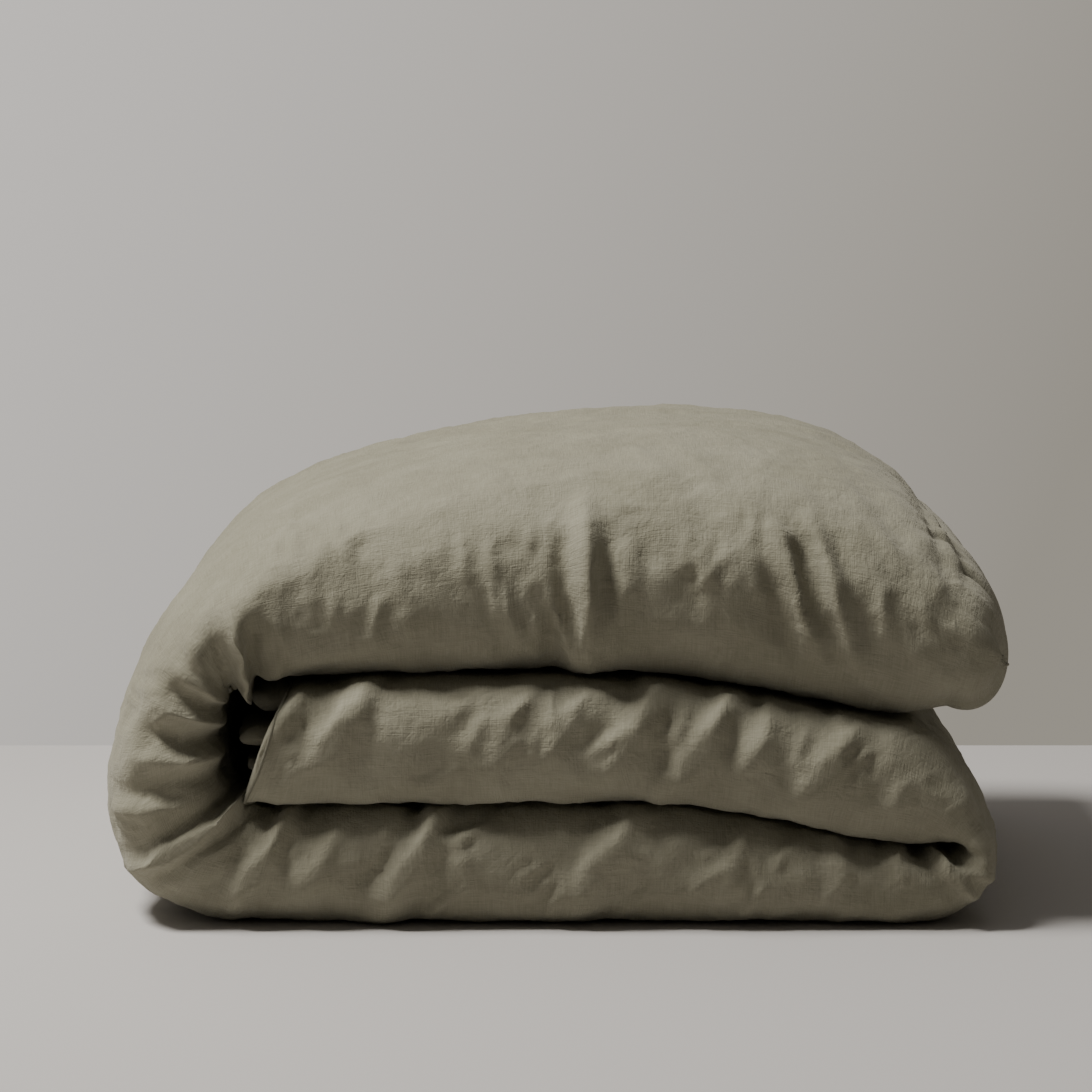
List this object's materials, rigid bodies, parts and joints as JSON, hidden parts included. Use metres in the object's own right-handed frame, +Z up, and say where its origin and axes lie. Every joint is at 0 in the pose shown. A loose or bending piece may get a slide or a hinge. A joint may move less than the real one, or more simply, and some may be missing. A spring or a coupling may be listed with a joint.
{
  "type": "folded duvet",
  "caption": "Double duvet in a linen cover, quartered and then folded in three; the top section opens about the big fold.",
  "frame": {"origin": "on the floor, under the middle of the folded bundle", "axes": "+X to the right, from the big left fold to the closed end of the top section; +Y away from the viewer, from the smooth folded front to the back where the plies end; +Z up"},
  "size_m": [0.7, 0.52, 0.36],
  "materials": {
    "linen": "stone-washed linen in dusty olive khaki, plain weave with slubs, soft and matt",
    "ticking": "off-white downproof cotton ticking, close plain weave",
    "filling": "loose white hollow-fibre filling",
    "tape": "off-white woven cotton tape",
    "button": "pale shell-coloured sewn button, low gloss"
  },
  "bodies": {
    "lower_sections": {"button_1": "button", "button_2": "button", "button_3": "button", "button_4": "button", "button_5": "button", "button_6": "button", "button_7": "button", "button_8": "button", "cover_back_lower_sections": "linen", "cover_face_lower_sections": "linen", "cover_tie_1": "tape", "cover_tie_2": "tape", "edge_binding_middle_end": "ticking", "filling_lower_sections": "filling", "insert_loop_1": "tape", "insert_loop_2": "tape", "placket_overlap": "linen", "placket_underlap": "linen", "ticking_lower_sections": "ticking"},
    "left_fold": {"cover_back_left_fold": "linen", "cover_face_left_fold": "linen", "filling_left_fold": "filling", "ticking_left_fold": "ticking"},
    "top_section": {"care_label": "tape", "cover_back_top_section": "linen", "cover_face_top_section": "linen", "cover_tie_3": "tape", "cover_tie_4": "tape", "edge_binding_top_end": "ticking", "filling_top_section": "filling", "insert_loop_3": "tape", "insert_loop_4": "tape", "ticking_top_section": "ticking"}
  },
  "joints": [
    {"name": "flap_lower_hinge", "type": "hinge", "parent": "lower_sections", "child": "left_fold", "pos_m": [-0.35, 0, 0], "axis": [0, -1, 0], "range_deg": [0, 90]},
    {"name": "flap_upper_hinge", "type": "hinge", "parent": "left_fold", "child": "top_section", "pos_m": [-0.35, 0, 0.36], "axis": [0, -1, 0], "range_deg": [0, 90]}
  ],
  "couplings": [
    {"joint": "flap_upper_hinge", "follows": "flap_lower_hinge", "ratio": 1}
  ]
}
